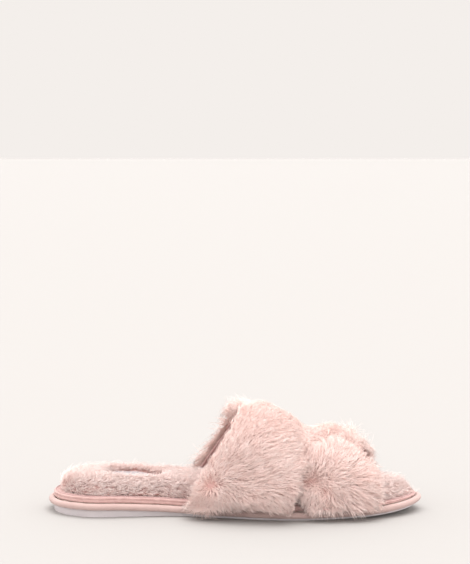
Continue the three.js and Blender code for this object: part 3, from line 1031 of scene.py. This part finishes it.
def makeHairMaterial(name, tones):
    # from a darker root to a pale tip, painted shade deep in the pile and painted light on the tips, a little
    # different in each tuft
    material = bpy.data.materials.new(name)
    material.use_nodes = True
    tree = material.node_tree
    shader = tree.nodes["Principled BSDF"]
    tint = addNode(tree, "ShaderNodeGroup", node_tree=hairTint)
    for key, value in tones.items():
        tint.inputs[key].default_value = (*value, 1)
    tree.links.new(tint.outputs["Colour"], shader.inputs["Base Color"])
    tree.links.new(tint.outputs["Roughness"], shader.inputs["Roughness"])
    shader.inputs["Specular IOR Level"].default_value = 0.3
    return material


def makeHairTint():
    group, into, out = nodeGroup("hairTint", [
        (key, "NodeSocketColor", (0.8, 0.6, 0.6, 1)) for key in ("Root", "Middle", "Tip", "Deep")
    ], [("Colour", "NodeSocketColor"), ("Roughness", "NodeSocketFloat")])
    coords = addNode(group, "ShaderNodeTexCoord")
    parts = addNode(group, "ShaderNodeSeparateXYZ", [(coords.outputs["UV"], 0)])
    lower = addNode(group, "ShaderNodeMapRange", [(parts.outputs["Y"], "Value")], From_Min=0.0, From_Max=0.55)
    upper = addNode(group, "ShaderNodeMapRange", [(parts.outputs["Y"], "Value")], From_Min=0.5, From_Max=1.0)
    # Root to Middle to Tip along each strand: the darker root is painted shade deep in the pile, the paler
    # tip is painted light
    first = blended(group, lower.outputs[0], into.outputs["Root"], into.outputs["Middle"])
    second = blended(group, upper.outputs[0], first, into.outputs["Tip"])
    deepen = addNode(group, "ShaderNodeMapRange", [(parts.outputs["X"], "Value")], From_Min=0.35,
                     From_Max=1.0, To_Max=0.55)
    final = blended(group, deepen.outputs[0], second, into.outputs["Deep"])
    rough = addNode(group, "ShaderNodeMapRange", [(parts.outputs["X"], "Value")], To_Min=0.62, To_Max=0.85)
    group.links.new(final, out.inputs["Colour"])
    group.links.new(rough.outputs[0], out.inputs["Roughness"])
    return group


hairTint = makeHairTint()
# the Root tones are painted shade deep in the pile, the Tip tones painted light on top of it
furMat = makeHairMaterial("longFur", {
    "Root": (0.93, 0.64, 0.58), "Middle": (0.97, 0.77, 0.72),
    "Tip": (0.985, 0.86, 0.815), "Deep": (0.93, 0.67, 0.61)})
pileMat = makeHairMaterial("shortPile", {
    "Root": (0.93, 0.64, 0.59), "Middle": (0.98, 0.81, 0.77),
    "Tip": (0.99, 0.90, 0.87), "Deep": (0.95, 0.74, 0.69)})
liningPileMat = makeHairMaterial("liningPile", {
    "Root": (0.90, 0.62, 0.56), "Middle": (0.97, 0.78, 0.73),
    "Tip": (0.99, 0.88, 0.84), "Deep": (0.93, 0.70, 0.64)})


def grow(f, skin, keep, shape, material, seed, name=None, sortBy=0, besides=()):
    # splits the strands along one axis, so each piece stays a workable size
    rng = np.random.default_rng(seed)
    roots, normals = scatter(skin, keep, f["strands"], rng)
    path, side, nearest = strandPaths(roots, normals, shape, f, rng, seed)
    path = pushOut(path, [skin, *besides], f["clearance"])
    tint = tintOf(roots, nearest, rng)
    order = np.argsort(roots[:, sortBy])
    for k, rows in enumerate(np.array_split(order, f["parts"])):
        title = (name or f["name"]) + ("ABCDEFGH"[k] if f["parts"] > 1 else "")
        obj = strandMesh(title, path[rows], side[rows], tint[rows], f)
        finishPiece(obj, material)
    print(name or f["name"], len(roots), "strands")


def outerSide(points, normals):
    return ((normals * archOutward(points)).sum(1) > -0.3).astype(float)


def innerSide(points, normals):
    return ((normals * archOutward(points)).sum(1) < -0.5).astype(float)


def footbedUp(points, normals):
    x = points[:, 0] / mm
    covered = ramp(x, -20, -5) * (1 - ramp(x, 88, 100)) * (1 - footbedPile["hiddenShare"])
    return (normals[:, 2] > -0.2) * (1 - covered) * (labelShare(points) > label["pileEdge"])


overLay = {
    "edge": (-2, 12), "rearShort": 0.42, "low": (10, 26), "high": (22, 45), "tail": (-24, 16),
    "foldShort": 0.6, "lowShort": 0.45, "tailLonger": 0.25, "rearTurn": (-0.7, 0.15),
    "frontTurn": (-1.5, 1.1), "frontDrop": 0.5, "frontLength": (-0.6, 0.15),
}
underLay = {
    "rearEdge": (-2, 10), "frontEdge": (-2, 14), "low": (10, 24), "high": (26, 40), "farSide": (-5, 15),
    "rearShort": 0.4, "lowShort": 0.15, "rearTurn": (0.6, -1.3), "rearLift": 0.1, "rearLonger": 0.3,
    "frontTurn": 0.4, "frontLift": 0.6, "frontLonger": 0.55,
}
pileLay = {
    "rim": (-9, -3), "toe": (85, 112), "toeTurn": 1.2, "toeDrop": 1.0,
    "rimShort": 0.35, "toeRimLonger": -0.25,
}


def overShape(points):
    # each strand's length, and the way it leans besides away from the whorl
    s = overLay
    fromRear, fromFront = strapPlace(points, overEdges)
    rear, front = 1 - ramp(fromRear, *s["edge"]), 1 - ramp(fromFront, *s["edge"])
    low = 1 - ramp(points[:, 2] / mm, *s["low"])
    high = ramp(points[:, 2] / mm, *s["high"])
    tailAt, tailWide = s["tail"]
    tail = np.exp(-((points[:, 0] / mm - tailAt) / tailWide) ** 2)    # the rear corner's long tips
    length = 1 - s["rearShort"] * rear
    length = length * (1 - s["foldShort"] * dipAt(points))
    length = length * (1 - s["lowShort"] * low * (1 - tail) + s["tailLonger"] * low * tail)
    length = length * (1 + mix(*s["frontLength"], high) * front)
    extra = np.zeros_like(points)
    extra[:, 0] = mix(*s["rearTurn"], high) * rear + mix(*s["frontTurn"], high) * front
    extra[:, 2] = -s["frontDrop"] * high * front
    return length, extra


def underShape(points):
    s = underLay
    fromRear, fromFront = strapPlace(points, underEdges)
    low = 1 - ramp(points[:, 2] / mm, *s["low"])
    farSide = ramp(points[:, 1] / mm, *s["farSide"])
    rear = 1 - ramp(fromRear, *s["rearEdge"])
    front = (1 - ramp(fromFront, *s["frontEdge"])) * ramp(points[:, 2] / mm, *s["high"])
    length = 1 - s["rearShort"] * rear * (1 - farSide) - s["lowShort"] * low
    length = length * (1 + s["frontLonger"] * front + s["rearLonger"] * farSide * rear)
    extra = np.zeros_like(points)
    extra[:, 0] = mix(*s["rearTurn"], farSide) * rear + s["frontTurn"] * front
    extra[:, 2] = s["rearLift"] * farSide * rear + s["frontLift"] * front
    return length, extra


def pileShape(points):
    s = pileLay
    x = points[:, 0] / mm
    rim = 1 - ramp(points[:, 2] / mm - footbedTop(x - heelX), *s["rim"])
    toeward = ramp(x, *s["toe"])
    extra = np.zeros_like(points)
    extra[:, 0] = s["toeTurn"] * toeward
    extra[:, 2] = -s["toeDrop"] * rim * toeward
    return 1 - rim * mix(s["rimShort"], s["toeRimLonger"], toeward), extra


def evenShape(points):
    return np.ones(len(points)), np.zeros_like(points)


grow(overFur, overPad, outerSide, overShape, furMat, 31, sortBy=1, besides=[underPad])
grow(underFur, underPad, outerSide, underShape, furMat, 37, sortBy=1)
grow(footbedPile, footbedPad, footbedUp, pileShape, pileMat, 41)
grow(liningPile, overLining, innerSide, evenShape, liningPileMat, 43, "overLiningPile")
grow(liningPile, underLining, innerSide, evenShape, liningPileMat, 47, "underLiningPile")
print("fur done")


def makeLabel(s, pad):
    # a disc laid on the pad, thickened, with a bevelled edge and a ring of stitches
    deselect()
    sides = s["sides"]
    bpy.ops.mesh.primitive_circle_add(vertices=sides, radius=1, fill_type="NOTHING")
    obj = bpy.context.object
    obj.name = "heelLabelPiece"
    editWhole(obj)
    for shrink in s["rings"]:
        bpy.ops.mesh.extrude_region_move()
        objectMode()
        points = places(obj)
        ring = points[-sides:]
        points[-sides:] = ring / np.linalg.norm(ring, axis=1, keepdims=True) * shrink
        setPlaces(obj, points)
        editMode()
    bpy.ops.mesh.merge(type="CENTER")
    bpy.ops.mesh.select_all(action="SELECT")
    faceOut()
    skin = skinTree(pad)

    def onPad(flat, lift):
        laid = []
        for x, y in flat:
            spot = Vector((x * s["long"] / 2 + s["station"], y * s["wide"] / 2 + sideShift, 60)) * mm
            hit = skin.ray_cast(spot, Vector((0, 0, -1)))[0]
            laid.append((spot.x, spot.y, hit.z + lift * mm))
        return np.array(laid)

    setPlaces(obj, onPad(places(obj)[:, :2], s["lift"]))
    addModifier(obj, "SMOOTH", factor=0.5, iterations=s["smoothing"])
    if vertexNormals(obj)[:, 2].mean() < 0:
        editWhole(obj)
        bpy.ops.mesh.flip_normals()
        objectMode()
    addModifier(obj, "SOLIDIFY", thickness=s["thickness"] * mm, offset=1)
    addModifier(obj, "BEVEL", width=s["edgeRound"] * mm, segments=2, limit_method="ANGLE",
                angle_limit=math.radians(50))
    smooth(obj, 50)
    finishPiece(obj, labelMat, ["heel_label"])
    angles = np.linspace(0, 2 * math.pi, s["stitches"], endpoint=False)
    inset = 1 - 2 * s["stitchInset"] / s["wide"]
    flat = np.stack([np.cos(angles), np.sin(angles)], 1)
    ring = onPad(flat * inset, s["lift"] + s["thickness"])
    outward = np.concatenate([flat, np.zeros((len(flat), 1))], 1)
    makeStitchRow("labelStitches", ring, outward, labelStitch, ["label_stitch"])


makeLabel(label, footbedPad)
print("label done")
